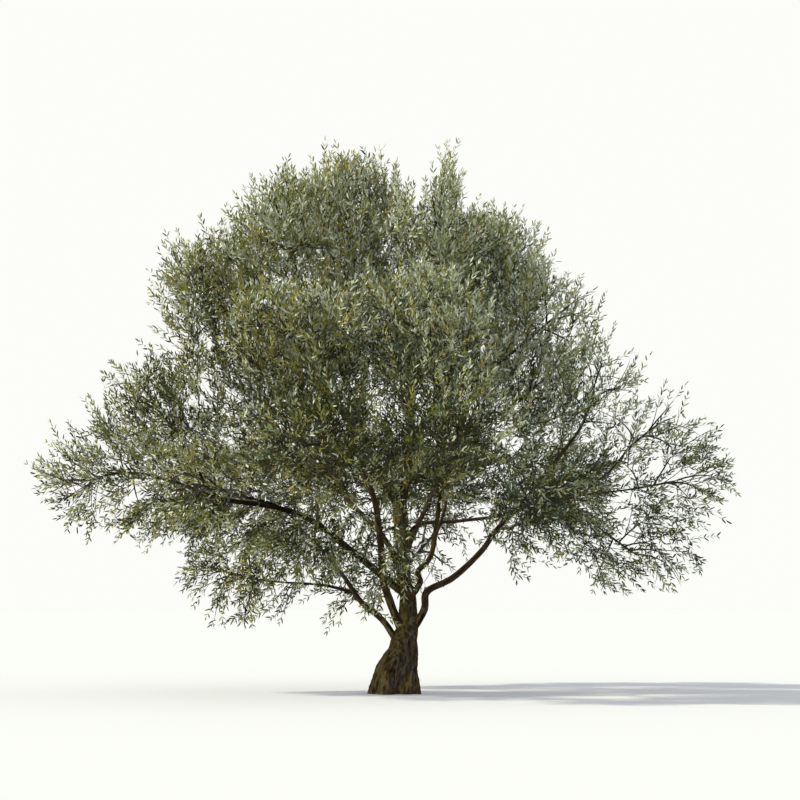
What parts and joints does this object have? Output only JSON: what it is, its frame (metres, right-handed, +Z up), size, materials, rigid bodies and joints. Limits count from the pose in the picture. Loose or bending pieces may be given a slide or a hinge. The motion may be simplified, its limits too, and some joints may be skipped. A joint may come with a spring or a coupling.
{
  "type": "olive tree",
  "caption": "Old olive tree with a fluted flaring trunk, spreading crooked boughs and a broad open dome of narrow grey-green leaves.",
  "frame": {"origin": "middle of the flat cut under the trunk, at ground level", "axes": "+Z up the trunk, +X to the side of the long right-hand bough, +Y to the far side of the crown"},
  "size_m": [6.7326, 6.1288, 5.3142],
  "materials": {
    "bark": "rough furrowed grey-brown bark with olive moss",
    "foliage": "narrow leathery leaves, grey-green above and silvery below, on thin grey-brown twigs"
  },
  "bodies": {
    "root": {"trunk": "bark", "left_low_bough": "bark", "left_stem": "bark", "left_long_bough": "bark", "right_inner_bough": "bark", "right_long_bough": "bark", "back_left_bough": "bark", "back_right_bough": "bark", "right_back_bough": "bark", "left_leader": "bark", "right_leader": "bark", "left_hang_bough": "bark", "left_front_bough": "bark", "left_back_bough": "bark", "left_shoulder_bough": "bark", "front_right_bough": "bark", "right_under_bough": "bark", "right_far_bough": "bark", "right_low_bough": "bark", "right_shoulder_bough": "bark", "right_centre_bough": "bark", "right_upper_bough": "bark", "core_bough": "bark", "right_top_bough": "bark", "top_right_bough": "bark", "back_mid_right_bough": "bark", "left_mid_bough": "bark", "front_mid_left_bough": "bark", "back_mid_left_bough": "bark", "left_upper_bough": "bark", "left_tip_foliage": "foliage", "left_shoulder_foliage": "foliage", "left_front_foliage": "foliage", "left_back_foliage": "foliage", "left_hang_foliage": "foliage", "left_low_foliage": "foliage", "front_left_foliage": "foliage", "front_right_foliage": "foliage", "right_under_foliage": "foliage", "right_low_foliage": "foliage", "right_tip_foliage": "foliage", "right_shoulder_foliage": "foliage", "right_back_foliage": "foliage", "back_left_foliage": "foliage", "back_right_foliage": "foliage", "left_upper_foliage": "foliage", "left_mid_foliage": "foliage", "front_mid_left_foliage": "foliage", "front_mid_right_foliage": "foliage", "back_mid_left_foliage": "foliage", "back_mid_right_foliage": "foliage", "right_mid_foliage": "foliage", "right_centre_foliage": "foliage", "right_upper_foliage": "foliage", "left_top_foliage": "foliage", "crown_top_foliage": "foliage", "top_right_foliage": "foliage", "right_top_foliage": "foliage", "core_foliage": "foliage", "centre_low_foliage": "foliage"}
  },
  "joints": []
}
